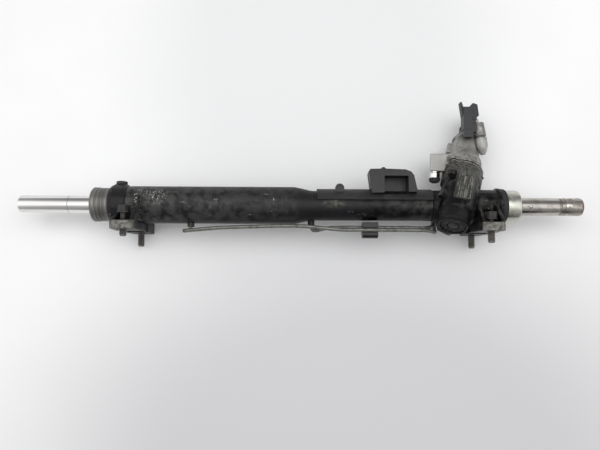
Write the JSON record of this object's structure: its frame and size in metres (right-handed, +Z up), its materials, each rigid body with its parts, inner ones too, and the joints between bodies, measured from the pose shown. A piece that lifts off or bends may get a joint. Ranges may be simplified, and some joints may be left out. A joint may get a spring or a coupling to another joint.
{
  "type": "hydraulic power-steering rack and pinion",
  "caption": "Hydraulic power-steering rack and pinion: long tubular housing, sliding toothed bar, leaning pinion and valve tower, transfer pipes and mounting ears.",
  "frame": {"origin": "bottom centre of the bounding box, on the surface that the unit lies on", "axes": "+X along the rack bar towards the tower's end, +Y away from the mounting seats (up in the vehicle), +Z up from the surface that it lies on"},
  "size_m": [0.812, 0.2158, 0.12],
  "materials": {
    "cast_black": "worn satin black paint over cast metal",
    "bronze": "sintered bronze, oiled",
    "steel": "ground and oiled steel",
    "cast_aluminium": "grey die cast, slightly dirty",
    "rubber": "matt black rubber",
    "zinc": "pale zinc plating with a faint yellow tint",
    "polished_steel": "polished hard chrome",
    "wear_ring": "bronze-filled sealing ring",
    "pipe_steel": "dull plated steel pipe",
    "bolt_steel": "dull dark plated steel",
    "connector_plastic": "blue-black nylon",
    "black_plastic": "worn black moulding"
  },
  "bodies": {
    "housing": {"cylinder_tube": "cast_black", "left_mount": "cast_black", "rack_housing": "cast_black", "pinion_lower_cap": "cast_black", "top_plug": "cast_black", "left_end_bush": "bronze", "right_rod_bush": "bronze", "spacer_tube": "steel", "lower_bearing_outer": "steel", "upper_roller_bearing": "steel", "yoke_spring": "steel", "input_needle_bearing": "steel", "left_seal_carrier": "cast_aluminium", "yoke": "cast_aluminium", "valve_housing": "cast_aluminium", "solenoid": "cast_aluminium", "left_rod_seal": "rubber", "inner_rod_seal": "rubber", "boot_seat_ring": "rubber", "pinion_shaft_seal": "rubber", "input_shaft_seal": "rubber", "input_dust_cap": "rubber", "flange_gasket": "rubber", "pressure_port_cap": "rubber", "right_end_cap": "zinc", "yoke_adjuster": "zinc", "return_port_plug": "zinc", "pressure_port_stub": "polished_steel", "right_wiper_ring": "wear_ring", "transfer_pipe_left": "pipe_steel", "transfer_pipe_right": "pipe_steel", "flange_screw_left": "bolt_steel", "flange_screw_right": "bolt_steel", "flange_screw_front": "bolt_steel", "union_nut_cylinder_left": "bolt_steel", "union_nut_valve_left": "bolt_steel", "union_nut_cylinder_right": "bolt_steel", "union_nut_valve_right": "bolt_steel", "mount_bolt_left_front": "bolt_steel", "mount_bolt_left_rear": "bolt_steel", "mount_bolt_right_front": "bolt_steel", "mount_bolt_right_rear": "bolt_steel", "yoke_lock_nut": "bolt_steel", "solenoid_connector": "connector_plastic", "saddle_bracket": "black_plastic", "pipe_clip": "black_plastic"},
    "rack": {"rack_bar": "polished_steel", "rack_piston": "steel", "piston_ring": "wear_ring"},
    "pinion": {"pinion": "steel", "valve_sleeve": "steel", "lower_bearing_inner": "steel", "pinion_lock_nut": "steel"},
    "input_shaft": {"input_shaft": "steel", "torsion_bar": "steel", "torsion_bar_pin": "steel"},
    "bearing_cage": {"lower_bearing_cage": "steel"}
  },
  "joints": [
    {"name": "rack_slide", "type": "slide", "parent": "housing", "child": "rack", "axis": [1, 0, 0], "range_m": [-0.075, 0.075]},
    {"name": "pinion_spin", "type": "hinge", "parent": "housing", "child": "pinion", "pos_m": [0.224, -0.04234, 0.07397], "axis": [0.284, 0.8618, -0.4203], "range_deg": [-540, 540]},
    {"name": "torsion_twist", "type": "hinge", "parent": "pinion", "child": "input_shaft", "pos_m": [0.224, -0.04234, 0.07397], "axis": [0.284, 0.8618, -0.4203], "range_deg": [-5, 5], "stiffness_Nm_per_rad": 100},
    {"name": "cage_spin", "type": "hinge", "parent": "housing", "child": "bearing_cage", "pos_m": [0.224, -0.04234, 0.07397], "axis": [0.284, 0.8618, -0.4203], "range_deg": [-216, 216]}
  ],
  "couplings": [
    {"joint": "pinion_spin", "follows": "rack_slide", "rad_per_m": -125},
    {"joint": "cage_spin", "follows": "rack_slide", "rad_per_m": -50}
  ]
}
